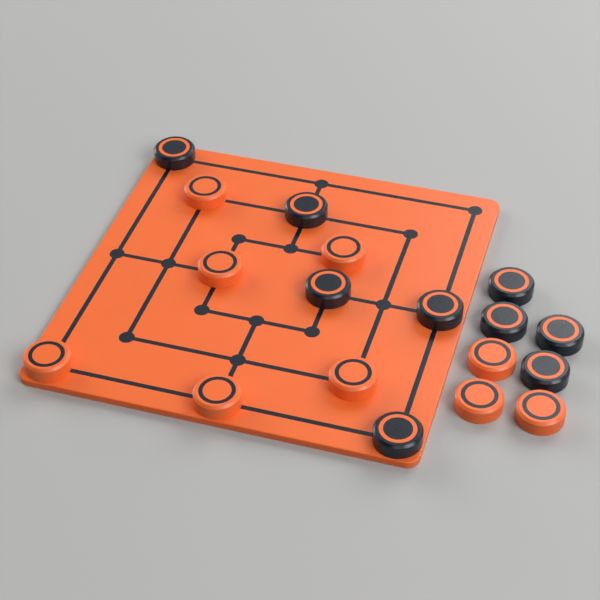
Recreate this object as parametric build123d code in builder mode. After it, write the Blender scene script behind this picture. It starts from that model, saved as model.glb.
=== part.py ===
"""Nine mens morris set: a flat playing board with flush lines, and eighteen round men.

The origin is the middle of the board's underside, which lies on the table with the loose men.
+X runs along the front edge, +Y away from the front edge, +Z up. Sizes are millimetres.
"""

import os

from build123d import *

# ---- Driving dimensions ----

# Men: round discs with a chamfered upper edge and a ring let into the top
man_diameter = 23.4
man_height = 8.0
man_chamfer = 1.2
edge_softening = 0.25  # rounding of both edges of the chamfer
foot_rounding = 0.3
ring_setback = 1.65  # flat land between the chamfer and the ring
ring_width = 1.95

# Playing pattern: three squares, one inside the other, joined at the middle of each side
squares = 3
man_gap = 5.8  # finger room between men on neighbouring points
line_width = 2.45
point_radius = 3.95

# Board plate
board_thickness = 4.0
board_corner_radius = 6.5
board_edge_rounding = 0.5
edge_land = 0.7  # board left outside a man that stands on the outer square

# Inlays
inlay_depth = 1.0
inlay_clearance = 0.05  # gap all round an inlay, at its side walls

# ---- Sizes worked out from them ----

man_radius = man_diameter / 2
ring_outer_radius = man_radius - man_chamfer - ring_setback
ring_inner_radius = ring_outer_radius - ring_width
point_pitch = man_diameter + man_gap
outer_square_side = 2 * squares * point_pitch
board_side = outer_square_side + man_diameter + 2 * edge_land

# ---- Where the men stand ----

# On the board: points of the pattern, in pitches from the board's middle
dark_men_on_points = [(-3, 3), (0, 2), (1, 0), (3, 0), (3, -3)]
orange_men_on_points = [(-2, 2), (1, 1), (-1, 0), (-3, -3), (0, -3), (2, -2)]

# On the table: places from the middle of the board's right edge, in men's diameters
dark_men_on_table = [(0.770, 1.354), (0.836, 0.190), (2.049, 0.117), (1.930, -1.055)]
orange_men_on_table = [(0.807, -0.994), (0.791, -2.238), (2.035, -2.210)]


def pattern_points():
    """Places of the points where men may stand: corners and side middles of each square."""
    steps = (-1, 0, 1)
    return [
        (size * point_pitch * across, size * point_pitch * up)
        for size in range(1, squares + 1)
        for across in steps
        for up in steps
        if (across, up) != (0, 0)
    ]


def pattern_plan(grow):
    """Plan of the lines and the round points, made wider by `grow` on every side."""
    wide = line_width + 2 * grow
    spoke_length = (squares - 1) * point_pitch
    with BuildSketch() as plan:
        for size in range(squares, 0, -1):
            side = 2 * size * point_pitch
            Rectangle(side + wide, side + wide)
            Rectangle(side - wide, side - wide, mode=Mode.SUBTRACT)
        with PolarLocations(point_pitch + spoke_length / 2, 4):
            Rectangle(spoke_length, wide)
        with Locations(*pattern_points()):
            Circle(point_radius + grow)
    return plan.sketch


def ring_plan(plane, grow):
    """Plan of a man's ring on the given plane, made wider by `grow` on both sides."""
    with BuildSketch(plane) as plan:
        Circle(ring_outer_radius + grow)
        Circle(ring_inner_radius - grow, mode=Mode.SUBTRACT)
    return plan.sketch


def board():
    """The plate, with grooves that the lines and points are let into."""
    with BuildPart() as plate:
        with BuildSketch():
            RectangleRounded(board_side, board_side, board_corner_radius)
        extrude(amount=board_thickness)
        rims = plate.edges().filter_by(Plane.XY)
        fillet(rims, board_edge_rounding)
        with BuildSketch(Plane.XY.offset(board_thickness)):
            add(pattern_plan(inlay_clearance))
        extrude(amount=-inlay_depth, mode=Mode.SUBTRACT)
    return plate


def line_inlay():
    """The lines and points as one thin web that lies in the grooves, level with the board."""
    with BuildPart() as web:
        with BuildSketch(Plane.XY.offset(board_thickness - inlay_depth)):
            add(pattern_plan(0))
        extrude(amount=inlay_depth)
    return web


def man_body(foot):
    """A man's body standing on the plane `foot`, with the groove for its ring."""
    top = foot.offset(man_height)
    with BuildPart() as body:
        with BuildSketch(foot):
            Circle(man_radius)
        extrude(amount=man_height)
        upper_rim = body.edges().sort_by(Axis.Z)[-1]
        chamfer(upper_rim, man_chamfer)
        lower_rim, chamfer_bottom, chamfer_top = body.edges().filter_by(GeomType.CIRCLE).sort_by(Axis.Z)
        fillet([chamfer_bottom, chamfer_top], edge_softening)
        fillet(body.edges().filter_by(GeomType.CIRCLE).sort_by(Axis.Z)[0], foot_rounding)
        add(ring_plan(top, inlay_clearance))
        extrude(amount=-inlay_depth, mode=Mode.SUBTRACT)
    return body


def man_ring(foot):
    """The ring that lies in a man's groove, level with the man's top."""
    with BuildPart() as ring:
        add(ring_plan(foot.offset(man_height - inlay_depth), 0))
        extrude(amount=inlay_depth)
    return ring


def feet_on_points(points):
    """Planes on the board's top at points of the pattern."""
    return [Plane((across * point_pitch, up * point_pitch, board_thickness)) for across, up in points]


def feet_on_table(places):
    """Planes on the table, to the right of the board."""
    right_edge = board_side / 2
    return [Plane((right_edge + out * man_diameter, along * man_diameter, 0)) for out, along in places]


def save(piece, name):
    """Labels a finished piece and writes it to its own file."""
    piece.part.label = name
    export_step(piece.part, f"parts/{name}.step")


os.makedirs("parts", exist_ok=True)
save(board(), "board")
save(line_inlay(), "line_inlay")

sets = {
    "dark": feet_on_points(dark_men_on_points) + feet_on_table(dark_men_on_table),
    "orange": feet_on_points(orange_men_on_points) + feet_on_table(orange_men_on_table),
}
for colour, feet in sets.items():
    for number, foot in enumerate(feet, start=1):
        save(man_body(foot), f"{colour}_man_{number}")
        save(man_ring(foot), f"{colour}_man_{number}_ring")
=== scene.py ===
"""Dresses a nine mens morris set: a playing board with a pattern let into it, and its eighteen men.

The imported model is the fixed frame. Every piece is modelled here at the place and size the frame
gives, in metres, with +Z up and the origin in the middle of the board's underside.
"""

import math

import bmesh
import bpy
from bpy.props import FloatProperty, FloatVectorProperty, IntProperty, PointerProperty
from mathutils import Matrix, Vector


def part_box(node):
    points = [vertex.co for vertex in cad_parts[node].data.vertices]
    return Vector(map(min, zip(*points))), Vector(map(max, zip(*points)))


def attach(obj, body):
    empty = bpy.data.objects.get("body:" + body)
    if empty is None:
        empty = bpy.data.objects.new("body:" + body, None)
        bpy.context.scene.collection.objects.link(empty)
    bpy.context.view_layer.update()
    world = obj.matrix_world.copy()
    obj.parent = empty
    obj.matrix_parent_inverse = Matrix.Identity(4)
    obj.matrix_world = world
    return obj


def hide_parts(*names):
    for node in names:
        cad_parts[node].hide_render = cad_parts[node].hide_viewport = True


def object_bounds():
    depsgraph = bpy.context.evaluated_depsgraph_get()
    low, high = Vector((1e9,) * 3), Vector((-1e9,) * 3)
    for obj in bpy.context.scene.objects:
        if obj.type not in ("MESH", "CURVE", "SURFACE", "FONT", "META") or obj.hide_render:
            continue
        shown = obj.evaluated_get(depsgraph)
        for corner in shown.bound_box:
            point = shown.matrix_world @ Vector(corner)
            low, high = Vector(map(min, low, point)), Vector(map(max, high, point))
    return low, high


bl_info = {
    "name": "Nine Mens Morris Set",
    "version": (1, 0, 0),
    "blender": (4, 5, 0),
    "location": "3D View > Sidebar > Morris",
    "description": "Models the board, its let-in pattern and the men of a nine mens morris set",
    "category": "Object",
}

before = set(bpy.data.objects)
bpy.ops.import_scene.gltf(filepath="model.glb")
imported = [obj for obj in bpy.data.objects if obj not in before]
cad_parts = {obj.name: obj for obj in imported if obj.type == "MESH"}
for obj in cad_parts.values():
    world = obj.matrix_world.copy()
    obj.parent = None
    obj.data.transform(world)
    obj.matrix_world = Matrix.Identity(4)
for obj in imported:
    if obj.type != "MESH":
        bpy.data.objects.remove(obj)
CAD_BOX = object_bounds()

MM = 0.001
SQUARES = 3  # squares in the pattern, one inside the other
MEN = 9  # men of each colour


def middle(node):
    """Middle of a CAD node's box."""
    low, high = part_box(node)
    return (low + high) / 2


BOARD_LOW, BOARD_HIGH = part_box("board")
PATTERN_LOW, PATTERN_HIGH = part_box("line_inlay")
MAN_LOW, MAN_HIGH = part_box("dark_man_1")
RING_LOW, RING_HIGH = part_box("dark_man_1_ring")
# The fourth orange man stands on the outer square's corner, a whole number of pitches out
PITCH = abs(middle("orange_man_4").x) / SQUARES
SET_MIDDLE = (CAD_BOX[0] + CAD_BOX[1]) / 2


# ---- Sizes and colours that a user may change ----


def length(name, description, default):
    """A length property, in metres."""
    return FloatProperty(
        name=name, description=description, default=default, min=0.0, precision=5, unit="LENGTH"
    )


def colour(name, description, default):
    """A colour property, in linear light."""
    return FloatVectorProperty(
        name=name, description=description, default=default, min=0.0, max=1.0, size=3, subtype="COLOR"
    )


class BoardSettings(bpy.types.PropertyGroup):
    corner_radius: length("Corner Radius", "Radius of the board's four corners", 6.5 * MM)
    edge_rounding: length("Edge Rounding", "Rounding of the board's upper and lower edges", 0.5 * MM)
    line_width: length("Line Width", "Width of the pattern's lines", 2.45 * MM)
    point_radius: length("Point Radius", "Radius of the round points", 3.95 * MM)
    seam: length("Seam", "Gap between the pattern and the wall of its groove", 0.05 * MM)
    seam_softening: length("Seam Softening", "Rounding of the rims on both sides of a seam", 0.05 * MM)
    corner_steps: IntProperty(name="Corner Steps", description="Facets in a corner", default=24, min=4)
    edge_steps: IntProperty(name="Edge Steps", description="Facets in a rounded edge", default=5, min=1)
    point_sides: IntProperty(name="Point Sides", description="Sides of a round point", default=64, min=16)


class ManSettings(bpy.types.PropertyGroup):
    chamfer: length("Chamfer", "Width of the chamfer round the top", 1.2 * MM)
    chamfer_softening: length("Chamfer Softening", "Cut back at both edges of the chamfer", 0.15 * MM)
    foot_rounding: length("Foot Rounding", "Rounding of the lower edge", 0.3 * MM)
    ring_width: length("Ring Width", "Width of the ring in the top", 1.95 * MM)
    seam: length("Seam", "Gap between the ring and the walls of its groove", 0.05 * MM)
    seam_softening: length("Seam Softening", "Rounding of the rims on both sides of a seam", 0.05 * MM)
    sides: IntProperty(name="Sides", description="Sides of a man's round wall", default=128, min=32)
    soft_steps: IntProperty(name="Soft Steps", description="Facets in a softened edge", default=3, min=1)


class FinishSettings(bpy.types.PropertyGroup):
    orange: colour("Orange", "Colour of the board and the orange men", (0.885, 0.152, 0.026))
    dark: colour("Dark", "Colour of the pattern and the dark men", (0.007, 0.013, 0.022))
    grain_size: length("Grain Size", "Spacing of the moulded grain", 0.35 * MM)
    grain_depth: length("Grain Depth", "Depth of the moulded grain", 0.012 * MM)


class StageSettings(bpy.types.PropertyGroup):
    floor: colour("Floor", "Colour of the floor", (0.44, 0.44, 0.435))
    backdrop: colour("Backdrop", "Colour of the backdrop", (0.45, 0.45, 0.445))
    lens: FloatProperty(name="Lens", description="Focal length in millimetres", default=85.087)
    distance: length("Distance", "From the camera to the point it aims at", 0.7247)
    azimuth: FloatProperty(name="Azimuth", description="Turn of the camera round the set", default=17.685)
    elevation: FloatProperty(name="Elevation", description="Height angle of the camera", default=42.335)
    roll: FloatProperty(name="Roll", description="Tilt of the camera about its own axis", default=-1.149)


# ---- Modelling helpers ----


TINY = 1e-6  # two places closer than this, in metres, are the same
MERGE_DISTANCE = 1e-7  # corners closer than this are made one

# Upright part of a face's unit normal, which is 1 on a level face and 0 on an upright one
FACE_LEVEL = 0.999
FACE_NEARLY_LEVEL = 0.9
FACE_NEARLY_UPRIGHT = 0.1
FACE_UPRIGHT = 0.001

# Angles between the two faces at an edge, in degrees
FLAT_ANGLE = 1  # up to this, they lie in one plane
FOLD_ANGLE = 20  # from this, the edge is a rim
SMOOTH_ANGLE = 35  # up to this, they are shaded as one curve

SEAM_STEPS = 2  # facets in the softened rim of a seam


def deselect_everything():
    """Leaves edit mode and selects nothing, so that an operator acts only on what comes next."""
    if bpy.context.object and bpy.context.object.mode != "OBJECT":
        bpy.ops.object.mode_set(mode="OBJECT")
    bpy.ops.object.select_all(action="DESELECT")


def take_up(piece):
    """Makes a piece the only selected one, and active."""
    deselect_everything()
    piece.select_set(True)
    bpy.context.view_layer.objects.active = piece


def begin_edit():
    """Goes into edit mode with the whole shape selected."""
    bpy.ops.object.mode_set(mode="EDIT")
    bpy.ops.mesh.select_all(action="SELECT")


def end_edit():
    """Goes back to object mode and returns the piece."""
    bpy.ops.object.mode_set(mode="OBJECT")
    return bpy.context.object


def settle():
    """Moves the selected objects' places into their meshes, which leaves them at the origin."""
    bpy.ops.object.transform_apply(location=True, rotation=True, scale=True)


def choose(kind, test):
    """Selects only the faces or edges (kind FACE or EDGE) that pass the test."""
    bpy.ops.mesh.select_mode(type=kind)
    bpy.ops.mesh.select_all(action="DESELECT")
    mesh = bpy.context.edit_object.data
    shape = bmesh.from_edit_mesh(mesh)
    chosen = [part for part in (shape.faces if kind == "FACE" else shape.edges) if test(part)]
    if not chosen:
        raise RuntimeError(f"no {kind.lower()} of {bpy.context.edit_object.name} passes the test")
    for part in chosen:
        part.select_set(True)
    bmesh.update_edit_mesh(mesh)


def level_at(edge, height):
    """True if an edge lies flat at this height."""
    return all(abs(corner.co.z - height) < TINY for corner in edge.verts)


def upright(edge):
    """True if an edge stands upright."""
    ends = edge.verts[1].co - edge.verts[0].co
    return abs(ends.z) > TINY and ends.xy.length < TINY


def folded(edge, degrees):
    """True if the faces on the two sides of an edge meet at more than this angle."""
    return edge.is_manifold and edge.calc_face_angle() > math.radians(degrees)


def round_over(width, steps):
    """Rounds the chosen edges over, this wide on both sides. One step alone makes a chamfer."""
    bpy.ops.mesh.bevel(offset=width, offset_type="OFFSET", segments=steps, affect="EDGES")


def soften_seam(height, width):
    """Rounds the rims at this height where a flat top meets an upright wall."""

    def is_seam_rim(edge):
        if not level_at(edge, height) or not edge.is_manifold:
            return False
        slopes = sorted(abs(face.normal.z) for face in edge.link_faces)
        return slopes[0] < FACE_NEARLY_UPRIGHT and slopes[1] > FACE_NEARLY_LEVEL

    choose("EDGE", is_seam_rim)
    round_over(width, SEAM_STEPS)


def turn_faces_out():
    """Turns all faces of a closed shape outwards."""
    bpy.ops.mesh.select_all(action="SELECT")
    bpy.ops.mesh.normals_make_consistent(inside=False)


def shape_normals(piece):
    """Smooths the rounded edges and keeps the flats flat."""
    take_up(piece)
    bpy.ops.object.shade_smooth_by_angle(angle=math.radians(SMOOTH_ANGLE))
    weigh = piece.modifiers.new("Flat faces first", "WEIGHTED_NORMAL")
    weigh.keep_sharp = True
    bpy.ops.object.modifier_apply(modifier=weigh.name)


# ---- Materials ----


# Each record slot's plastic: name, colour setting, roughness, paleness of handled edges, and index
# of refraction
PLASTICS = {
    "orange_plastic": ("Orange satin plastic", "orange", 0.36, 0.04, 1.58),
    "dark_plastic": ("Dark satin plastic", "dark", 0.24, 0.02, 1.45),
}

# Spacings of what varies over the plastic
DRIFT_SPACING = 45 * MM
SMUDGE_SPACING = 11 * MM
SPECKLE_SPACING = 1.3 * MM

# Colours, as shares of the plain one
DEEPER = 0.975
PALER = 1.02
SPECKLED = 0.9

EDGE_WIDTH = 0.5 * MM  # how far from an edge handling shows
EDGE_TURN = 0.06  # turn, as 1 minus its cosine, from which an edge counts as handled in full
EDGE_SAMPLES = 6
EDGE_FADE = 0.5  # share of the worn colour on a handled edge
GLOSS_SPREAD = 0.05  # how far smudges, speckle and handled edges each change the roughness
SPECKLE_HEIGHT = 0.6  # beside the grain's height of 1
BUMP_STRENGTH = 0.35


class Value:
    """An output of a node. Sums on it are written as Python and make Math nodes."""

    def __init__(self, sketch, output):
        self.sketch = sketch
        self.output = output

    def math(self, operation, first, second):
        """The output of a new Math node."""
        return self.sketch.node("ShaderNodeMath", {"operation": operation}, {0: first, 1: second})

    def __add__(self, other):
        return self.math("ADD", self, other)

    def __radd__(self, other):
        return self.math("ADD", other, self)

    def __sub__(self, other):
        return self.math("SUBTRACT", self, other)

    def __rsub__(self, other):
        return self.math("SUBTRACT", other, self)

    def __mul__(self, other):
        return self.math("MULTIPLY", self, other)

    def __rmul__(self, other):
        return self.math("MULTIPLY", other, self)


class Sketch:
    """The nodes of a material or world while they are being laid out."""

    def __init__(self, owner):
        self.owner = owner
        owner.use_nodes = True
        self.tree = owner.node_tree
        self.tree.nodes.clear()

    def node(self, kind, settings=None, values=None, output=0):
        """Adds a node, sets it up, fills or links its sockets, and returns one of its outputs."""
        made = self.tree.nodes.new(kind)
        for key, setting in (settings or {}).items():
            if key == "stops":
                self.set_stops(made.color_ramp, setting)
            else:
                setattr(made, key, setting)
        for key, value in (values or {}).items():
            if isinstance(value, Value):
                self.tree.links.new(value.output, made.inputs[key])
            else:
                made.inputs[key].default_value = value
        return Value(self, made.outputs[output]) if made.outputs else None

    @staticmethod
    def set_stops(ramp, stops):
        """Sets a ramp's stops from (position, grey level) pairs."""
        while len(ramp.elements) < len(stops):
            ramp.elements.new(0.5)
        for element, (position, level) in zip(ramp.elements, stops):
            element.position = position
            element.color = (level, level, level, 1)

    def noise(self, place, spacing, detail=2.0, roughness=0.5, distortion=0.0):
        """Soft noise from 0 to 1, with features about this many metres apart."""
        values = {
            "Vector": place,
            "Scale": 1 / spacing,
            "Detail": detail,
            "Roughness": roughness,
            "Distortion": distortion,
        }
        return self.node("ShaderNodeTexNoise", {}, values)

    def ramp(self, factor, *stops):
        """Passes a value through a ramp of (position, grey level) stops."""
        return self.node("ShaderNodeValToRGB", {"stops": stops}, {0: factor})

    def step(self, value, start, end):
        """Rises smoothly from 0 to 1 while a value goes from start to end."""
        values = {"Value": value, "From Min": start, "From Max": end}
        return self.node("ShaderNodeMapRange", {"interpolation_type": "SMOOTHSTEP"}, values)

    def seen(self):
        """1 for what the camera sees straight or through a reflection, 0 for light that bounces."""
        kinds = ("Camera", "Glossy", "Transmission")
        return sum(self.node("ShaderNodeLightPath", output=f"Is {kind} Ray") for kind in kinds)

    def mix(self, factor, first, second):
        """Mixes two colours."""
        values = {0: factor, 6: first, 7: second}
        return self.node("ShaderNodeMix", {"data_type": "RGBA"}, values, output=2)

    def vector(self, operation, values):
        """The number that a new Vector Math node works out."""
        return self.node("ShaderNodeVectorMath", {"operation": operation}, values, output="Value")


def shade(tint, factor=1):
    """A colour made lighter or darker, or left as it is, with full alpha."""
    return (*(min(1.0, part * factor) for part in tint), 1)


def edge_mask(sketch, width):
    """1 where the surface turns within this width, 0 on the flats."""
    flat = sketch.node("ShaderNodeNewGeometry", output="Normal")
    turned = sketch.node("ShaderNodeBevel", {"samples": EDGE_SAMPLES}, {"Radius": width})
    along = sketch.vector("DOT_PRODUCT", {0: flat, 1: turned})
    return sketch.ramp(1 - along, (0.0, 0.0), (EDGE_TURN, 1.0))


def moulded_plastic(name, tint, gloss, wear, ior):
    """Satin moulded plastic: a fine even grain, slow drifts of colour and gloss, and handled edges."""
    finish = bpy.context.scene.morris_finish
    sketch = Sketch(bpy.data.materials.new(name))
    place = sketch.node("ShaderNodeTexCoord", output="Object")
    drift = sketch.noise(place, DRIFT_SPACING, detail=3.0)
    handling = sketch.noise(place, SMUDGE_SPACING, detail=4.0, roughness=0.6, distortion=0.8)
    speckle = sketch.noise(place, SPECKLE_SPACING, detail=3.0, roughness=0.65)
    grain = sketch.noise(place, finish.grain_size, detail=2.0)
    edges = edge_mask(sketch, EDGE_WIDTH)

    drifted = sketch.ramp(drift, (0.3, 0.0), (0.7, 1.0))
    body = sketch.mix(drifted, shade(tint, DEEPER), shade(tint, PALER))
    speckled = sketch.ramp(speckle, (0.55, 0.0), (0.85, 0.25))
    body = sketch.mix(speckled, body, shade(tint, SPECKLED))
    worn = shade([part * (1 - wear) + wear for part in tint])
    body = sketch.mix(edges * EDGE_FADE, body, worn)

    smudged = sketch.ramp(handling, (0.35, 0.0), (0.75, 1.0))
    roughness = gloss + smudged * GLOSS_SPREAD + speckle * GLOSS_SPREAD - edges * GLOSS_SPREAD

    height = grain + speckle * SPECKLE_HEIGHT
    relief = {"Strength": BUMP_STRENGTH, "Distance": finish.grain_depth, "Height": height}
    bump = sketch.node("ShaderNodeBump", {}, relief)
    sockets = {"Base Color": body, "Roughness": roughness, "Normal": bump, "IOR": ior}
    surface = sketch.node("ShaderNodeBsdfPrincipled", {}, sockets)
    sketch.node("ShaderNodeOutputMaterial", {}, {"Surface": surface})
    return sketch.owner


def material_for(slot):
    """The material of a record slot, made the first time it is asked for."""
    name, colour_name, gloss, wear, ior = PLASTICS[slot]
    tint = getattr(bpy.context.scene.morris_finish, colour_name)
    return bpy.data.materials.get(name) or moulded_plastic(name, tint, gloss, wear, ior)


def paint(piece, slot):
    """Gives a piece the one material of a record slot."""
    piece.data.materials.clear()
    piece.data.materials.append(material_for(slot))


# ---- The pieces ----


CUTTER_RISE = 1 * MM  # how far the cutter of the grooves stands above the board


def pattern_points():
    """Places of the points where men may stand: corners and side middles of each square."""
    steps = (-1, 0, 1)
    return [
        Vector((across * size * PITCH, up * size * PITCH, 0))
        for size in range(1, SQUARES + 1)
        for across in steps
        for up in steps
        if (across, up) != (0, 0)
    ]


def divide_between_points():
    """Divides the flats only by cuts halfway between the points, so that no face goes round a hole."""
    cuts = [(step + 0.5) * PITCH for step in range(-SQUARES, SQUARES)]
    for cut in cuts:
        for axis in (Vector((1, 0, 0)), Vector((0, 1, 0))):
            bpy.ops.mesh.select_all(action="SELECT")
            bpy.ops.mesh.bisect(plane_co=axis * cut, plane_no=axis)

    def on_cut(edge):
        ends = [corner.co for corner in edge.verts]
        return any(all(abs(end[axis] - cut) < TINY for end in ends) for axis in (0, 1) for cut in cuts)

    def divides_a_flat(edge):
        slopes = [abs(face.normal.z) for face in edge.link_faces]
        level_or_upright = min(slopes) > FACE_LEVEL or max(slopes) < FACE_UPRIGHT
        return level_or_upright and not folded(edge, FLAT_ANGLE) and not on_cut(edge)

    choose("EDGE", divides_a_flat)
    bpy.ops.mesh.dissolve_edges()


def square_frames(width, height):
    """The three squares as flat frames of lines this wide, at this height."""
    frames = []
    for size in range(1, SQUARES + 1):
        bpy.ops.mesh.primitive_plane_add(size=2 * size * PITCH + width, location=(0, 0, height))
        begin_edit()
        bpy.ops.mesh.inset(thickness=width)
        bpy.ops.mesh.delete(type="FACE")
        frames.append(end_edit())
    return frames


def joining_strips(width, height):
    """The four lines that join the squares, as flat strips this wide, at this height."""
    reach = (SQUARES - 1) * PITCH
    strips = []
    for quarter in range(4):
        angle = quarter * math.pi / 2
        out = Matrix.Rotation(angle, 3, "Z") @ Vector((PITCH + reach / 2, 0, 0))
        bpy.ops.mesh.primitive_plane_add(size=1, location=(out.x, out.y, height), rotation=(0, 0, angle))
        strip = bpy.context.object
        strip.scale = (reach, width, 1)
        strips.append(strip)
    return strips


def point_discs(radius, height):
    """The round points as flat discs, at this height."""
    discs = []
    for point in pattern_points():
        bpy.ops.mesh.primitive_circle_add(
            vertices=bpy.context.scene.morris_board.point_sides,
            radius=radius,
            fill_type="NGON",
            location=(point.x, point.y, height),
        )
        discs.append(bpy.context.object)
    return discs


def pattern_block(name, grow, low, high):
    """The lines and points as one block between two heights, wider by `grow` on every side."""
    settings = bpy.context.scene.morris_board
    width = settings.line_width + 2 * grow
    deselect_everything()
    flats = square_frames(width, low) + joining_strips(width, low)
    flats += point_discs(settings.point_radius + grow, low)
    for flat in flats:
        flat.select_set(True)
    bpy.context.view_layer.objects.active = flats[0]
    bpy.ops.object.join()
    settle()
    block = bpy.context.object
    block.name = name
    begin_edit()
    bpy.ops.mesh.extrude_region_move(TRANSFORM_OT_translate={"value": (0, 0, high - low)})
    turn_faces_out()
    bpy.ops.mesh.intersect_boolean(
        operation="UNION", use_self=True, threshold=MERGE_DISTANCE, solver="EXACT"
    )
    bpy.ops.mesh.select_all(action="SELECT")
    bpy.ops.mesh.remove_doubles(threshold=MERGE_DISTANCE)
    divide_between_points()
    turn_faces_out()
    return end_edit()


def model_board():
    """The plate: corners rounded, edges softened, and the pattern's grooves cut in."""
    settings = bpy.context.scene.morris_board
    deselect_everything()
    bpy.ops.mesh.primitive_cube_add(size=1, location=(BOARD_LOW + BOARD_HIGH) / 2)
    plate = bpy.context.object
    plate.name = "board_plate"
    plate.scale = BOARD_HIGH - BOARD_LOW
    settle()
    begin_edit()
    choose("EDGE", upright)
    round_over(settings.corner_radius, settings.corner_steps)
    choose("EDGE", lambda edge: folded(edge, FOLD_ANGLE) and not upright(edge))
    round_over(settings.edge_rounding, settings.edge_steps)
    end_edit()

    top = PATTERN_HIGH.z + CUTTER_RISE
    cutter = pattern_block("groove_cutter", settings.seam, PATTERN_LOW.z, top)
    take_up(plate)
    grooves = plate.modifiers.new("Grooves", "BOOLEAN")
    grooves.operation = "DIFFERENCE"
    grooves.solver = "EXACT"
    grooves.object = cutter
    bpy.ops.object.modifier_apply(modifier=grooves.name)
    bpy.data.objects.remove(cutter)
    begin_edit()
    divide_between_points()
    soften_seam(BOARD_HIGH.z, settings.seam_softening)
    end_edit()
    shape_normals(plate)
    return plate


def model_line_inlay():
    """The lines and points as one thin web, with softened upper rims."""
    settings = bpy.context.scene.morris_board
    web = pattern_block("pattern_web", 0.0, PATTERN_LOW.z, PATTERN_HIGH.z)
    begin_edit()
    soften_seam(PATTERN_HIGH.z, settings.seam_softening)
    end_edit()
    shape_normals(web)
    return web


def sink_ring_groove(height, reach):
    """Sinks the ring's groove into a man's flat top, which reaches this far from the middle."""
    settings = bpy.context.scene.morris_man
    outer = (RING_HIGH.x - RING_LOW.x) / 2 + settings.seam
    inner = outer - settings.ring_width - 2 * settings.seam
    depth = RING_HIGH.z - RING_LOW.z

    def is_top(face):
        return face.normal.z > FACE_LEVEL and abs(face.calc_center_median().z - height) < TINY

    def is_groove_floor(face):
        out = face.calc_center_median().xy.length
        return is_top(face) and inner < out < outer and len(face.verts) == 4

    choose("FACE", is_top)
    to_sides = math.cos(math.pi / settings.sides)  # an inset is measured to the middles of the sides
    bpy.ops.mesh.inset(thickness=(reach - outer) * to_sides)
    bpy.ops.mesh.inset(thickness=(outer - inner) * to_sides)
    choose("FACE", is_groove_floor)
    bpy.ops.mesh.extrude_region_move(TRANSFORM_OT_translate={"value": (0, 0, -depth)})


def model_man(name):
    """A man's body with its foot at the origin: a disc, chamfered above, with a groove for the ring."""
    settings = bpy.context.scene.morris_man
    radius = (MAN_HIGH.x - MAN_LOW.x) / 2
    height = MAN_HIGH.z - MAN_LOW.z
    deselect_everything()
    bpy.ops.mesh.primitive_cylinder_add(
        vertices=settings.sides, radius=radius, depth=height, location=(0, 0, height / 2)
    )
    settle()
    body = bpy.context.object
    body.name = name
    begin_edit()
    choose("EDGE", lambda edge: level_at(edge, height))
    round_over(settings.chamfer, 1)
    choose("EDGE", lambda edge: level_at(edge, height) or level_at(edge, height - settings.chamfer))
    round_over(settings.chamfer_softening, settings.soft_steps)
    choose("EDGE", lambda edge: level_at(edge, 0))
    round_over(settings.foot_rounding, settings.soft_steps)
    sink_ring_groove(height, radius - settings.chamfer - settings.chamfer_softening)
    soften_seam(height, settings.seam_softening)
    end_edit()
    shape_normals(body)
    return body


def model_ring(name):
    """A man's ring, with its lower face at the origin."""
    settings = bpy.context.scene.morris_man
    outer = (RING_HIGH.x - RING_LOW.x) / 2
    inner = outer - settings.ring_width
    depth = RING_HIGH.z - RING_LOW.z
    deselect_everything()
    bpy.ops.mesh.primitive_circle_add(vertices=settings.sides, radius=outer, fill_type="NOTHING")
    ring = bpy.context.object
    ring.name = name
    begin_edit()
    bpy.ops.mesh.extrude_edges_move()
    bpy.ops.transform.resize(value=(inner / outer, inner / outer, 1))
    bpy.ops.mesh.select_all(action="SELECT")
    bpy.ops.mesh.extrude_region_move(TRANSFORM_OT_translate={"value": (0, 0, depth)})
    turn_faces_out()
    soften_seam(depth, settings.seam_softening)
    end_edit()
    shape_normals(ring)
    return ring


def set_down(pattern, name, place):
    """A copy of a finished piece, with its own mesh, moved to its place."""
    take_up(pattern)
    bpy.ops.object.duplicate(linked=False)
    copy = bpy.context.object
    copy.name = name
    bpy.ops.transform.translate(value=place)
    settle()
    return copy


def set_out_men(colour_name, body_slot, ring_slot):
    """Models one man and one ring and sets out the nine men of a colour."""
    man = model_man("man_pattern")
    ring = model_ring("ring_pattern")
    for number in range(1, MEN + 1):
        node = f"{colour_name}_man_{number}"
        low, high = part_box(node)
        foot = Vector(((low.x + high.x) / 2, (low.y + high.y) / 2, low.z))
        bed = Vector((foot.x, foot.y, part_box(f"{node}_ring")[0].z))
        body = set_down(man, f"{node}_body", foot)
        paint(body, body_slot)
        inlay = set_down(ring, f"{node}_inlay", bed)
        paint(inlay, ring_slot)
        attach(body, node)
        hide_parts(node)
        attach(inlay, node)
        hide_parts(f"{node}_ring")
    for pattern in (man, ring):
        bpy.data.objects.remove(pattern)


# ---- The stage ----


FLOOR_SIZE = 12  # metres
FLOOR_ROUGHNESS = 0.7
FLOOR_BOUNCE = 0.3  # share of the floor's paleness that lights the set from below
FADE = (0.6, 1.3)  # metres from the world's middle over which the floor turns into the backdrop
WORLD_STRENGTH = 0.05
HAZE = (0.08, 0.3)  # heights, as sines, between which the backdrop gives way to the dim room

# Each lamp: name, azimuth and elevation in degrees, distance, width and height in metres, watts,
# and what it lights: the colours, the sheen or both
LAMPS = [
    ("Key lamp", 66, 40, 2.5, 1.3, 1.3, 41.0, "both"),
    ("Back lamp", 159, 33, 1.8, 1.1, 1.1, 17.3, "both"),
    ("Left lamp", -117, 20, 2.4, 1.4, 1.4, 36.0, "colours"),
    ("Left strip", -117, 6.5, 2.4, 1.4, 0.5, 12.0, "sheen"),
    ("Front lamp", 16, 42, 2.0, 1.0, 1.0, 5.3, "both"),
    ("Far panel", 198, 42, 2.0, 1.2, 1.2, 2.8, "both"),
    ("Side panel", 118, 26, 2.0, 1.0, 1.0, 3.8, "both"),
    ("Near panel", -80, 24, 2.0, 0.9, 0.9, 2.0, "both"),
]

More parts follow.
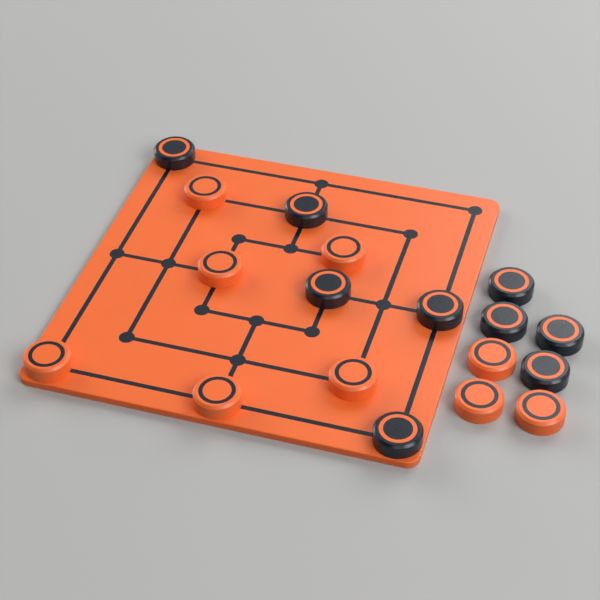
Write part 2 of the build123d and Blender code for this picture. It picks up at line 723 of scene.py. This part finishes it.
# The camera aims at this point of the board's top
AIM = Vector((16.565 * MM, -8.321 * MM, BOARD_HIGH.z))
NEAREST = 0.01  # metres from the camera at which its view begins


def lay_floor():
    """A wide plain floor at the level the board lies on, which fades into the backdrop far away."""
    settings = bpy.context.scene.morris_stage
    deselect_everything()
    bpy.ops.mesh.primitive_plane_add(
        size=FLOOR_SIZE, location=(SET_MIDDLE.x, SET_MIDDLE.y, BOARD_LOW.z)
    )
    settle()
    floor = bpy.context.object
    floor.name = "floor"
    sketch = Sketch(bpy.data.materials.new("Plain floor"))
    seen = sketch.seen()
    tone = sketch.mix(seen, shade(settings.floor, FLOOR_BOUNCE), shade(settings.floor))
    sockets = {"Base Color": tone, "Roughness": FLOOR_ROUGHNESS}
    near = sketch.node("ShaderNodeBsdfPrincipled", {}, sockets)
    far = sketch.node("ShaderNodeEmission", {}, {"Color": shade(settings.backdrop)})
    place = sketch.node("ShaderNodeTexCoord", output="Object")
    away = sketch.vector("LENGTH", {0: place})
    faded = sketch.step(away, *FADE) * seen
    surface = sketch.node("ShaderNodeMixShader", {}, {0: faded, 1: near, 2: far})
    sketch.node("ShaderNodeOutputMaterial", {}, {"Surface": surface})
    floor.data.materials.append(sketch.owner)


def direction(azimuth, elevation):
    """Unit vector from the set towards a lamp or camera. Azimuth 0 is in front, 90 to the right."""
    turn, rise = math.radians(azimuth), math.radians(elevation)
    return Vector(
        (math.sin(turn) * math.cos(rise), -math.cos(turn) * math.cos(rise), math.sin(rise))
    )


def hang_lamps():
    """Soft lamps round the set, which the camera doesn't see."""
    for name, azimuth, elevation, distance, width, height, watts, lights in LAMPS:
        lamp = bpy.data.lights.new(name, "AREA")
        lamp.shape = "RECTANGLE"
        lamp.size = width
        lamp.size_y = height
        lamp.energy = watts
        holder = bpy.data.objects.new(name, lamp)
        holder.visible_camera = False
        holder.visible_diffuse = lights != "sheen"
        holder.visible_glossy = lights != "colours"
        bpy.context.scene.collection.objects.link(holder)
        away = direction(azimuth, elevation)
        holder.location = away * distance
        holder.rotation_euler = away.to_track_quat("Z", "Y").to_euler()


def light_room():
    """A dim, even world. What the camera sees of it low down is the pale backdrop."""
    sketch = Sketch(bpy.data.worlds.new("Pale room"))
    way = sketch.node("ShaderNodeTexCoord", output="Generated")
    height = sketch.node("ShaderNodeSeparateXYZ", {}, {0: way}, output="Z")
    low_down = 1 - sketch.step(height, *HAZE)
    dim = (WORLD_STRENGTH, WORLD_STRENGTH, WORLD_STRENGTH, 1)
    backdrop = shade(bpy.context.scene.morris_stage.backdrop)
    room = sketch.mix(low_down * sketch.seen(), dim, backdrop)
    surface = sketch.node("ShaderNodeBackground", {}, {"Color": room})
    sketch.node("ShaderNodeOutputWorld", {}, {"Surface": surface})
    bpy.context.scene.world = sketch.owner


def set_up_camera():
    """The camera, turned and tilted towards the point it aims at."""
    settings = bpy.context.scene.morris_stage
    lens = bpy.data.cameras.new("Camera")
    lens.lens = settings.lens
    lens.clip_start = NEAREST
    camera = bpy.data.objects.new("Camera", lens)
    bpy.context.scene.collection.objects.link(camera)
    camera.location = AIM + direction(settings.azimuth, settings.elevation) * settings.distance
    turn = (
        Matrix.Rotation(math.radians(settings.azimuth), 3, "Z")
        @ Matrix.Rotation(math.radians(90 - settings.elevation), 3, "X")
        @ Matrix.Rotation(math.radians(settings.roll), 3, "Z")
    )
    camera.rotation_euler = turn.to_euler()
    bpy.context.scene.camera = camera


# ---- Operators ----


class MORRIS_OT_board(bpy.types.Operator):
    """Model the board's plate, with the grooves for the pattern"""

    bl_idname = "morris.board"
    bl_label = "Board"
    bl_options = {"REGISTER", "UNDO"}

    def execute(self, context):
        plate = model_board()
        paint(plate, "orange_plastic")
        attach(plate, "board")
        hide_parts("board")
        return {"FINISHED"}


class MORRIS_OT_line_inlay(bpy.types.Operator):
    """Model the lines and points that lie in the board's grooves"""

    bl_idname = "morris.line_inlay"
    bl_label = "Lines and Points"
    bl_options = {"REGISTER", "UNDO"}

    def execute(self, context):
        web = model_line_inlay()
        paint(web, "dark_plastic")
        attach(web, "board")
        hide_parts("line_inlay")
        return {"FINISHED"}


class MORRIS_OT_dark_men(bpy.types.Operator):
    """Model the nine dark men with their orange rings"""

    bl_idname = "morris.dark_men"
    bl_label = "Dark Men"
    bl_options = {"REGISTER", "UNDO"}

    def execute(self, context):
        set_out_men("dark", "dark_plastic", "orange_plastic")
        return {"FINISHED"}


class MORRIS_OT_orange_men(bpy.types.Operator):
    """Model the nine orange men with their dark rings"""

    bl_idname = "morris.orange_men"
    bl_label = "Orange Men"
    bl_options = {"REGISTER", "UNDO"}

    def execute(self, context):
        set_out_men("orange", "orange_plastic", "dark_plastic")
        return {"FINISHED"}


class MORRIS_OT_stage(bpy.types.Operator):
    """Lay the floor, hang the lamps, light the room and set up the camera"""

    bl_idname = "morris.stage"
    bl_label = "Stage"
    bl_options = {"REGISTER", "UNDO"}

    def execute(self, context):
        lay_floor()
        hang_lamps()
        light_room()
        set_up_camera()
        context.scene.view_settings.view_transform = "Standard"
        return {"FINISHED"}


# ---- Panel and registration ----


class MORRIS_PT_panel(bpy.types.Panel):
    """Buttons and sizes for the whole set"""

    bl_idname = "MORRIS_PT_panel"
    bl_label = "Nine Mens Morris"
    bl_space_type = "VIEW_3D"
    bl_region_type = "UI"
    bl_category = "Morris"

    def draw(self, context):
        for step in STEPS:
            self.layout.operator(step.bl_idname)
        for holder, group in SETTINGS.items():
            box = self.layout.box()
            box.label(text=group.__name__.replace("Settings", ""))
            for name in group.__annotations__:
                box.prop(getattr(context.scene, holder), name)


SETTINGS = {
    "morris_board": BoardSettings,
    "morris_man": ManSettings,
    "morris_finish": FinishSettings,
    "morris_stage": StageSettings,
}
STEPS = [
    MORRIS_OT_board,
    MORRIS_OT_line_inlay,
    MORRIS_OT_dark_men,
    MORRIS_OT_orange_men,
    MORRIS_OT_stage,
]


def register():
    for group in SETTINGS.values():
        bpy.utils.register_class(group)
    for step in STEPS:
        bpy.utils.register_class(step)
    bpy.utils.register_class(MORRIS_PT_panel)
    for holder, group in SETTINGS.items():
        setattr(bpy.types.Scene, holder, PointerProperty(type=group))


def unregister():
    for holder in SETTINGS:
        delattr(bpy.types.Scene, holder)
    bpy.utils.unregister_class(MORRIS_PT_panel)
    for step in reversed(STEPS):
        bpy.utils.unregister_class(step)
    for group in reversed(SETTINGS.values()):
        bpy.utils.unregister_class(group)


def main():
    """Makes the whole set."""
    register()
    bpy.ops.morris.board()
    bpy.ops.morris.line_inlay()
    bpy.ops.morris.dark_men()
    bpy.ops.morris.orange_men()
    bpy.ops.morris.stage()


if __name__ == "__main__":
    main()
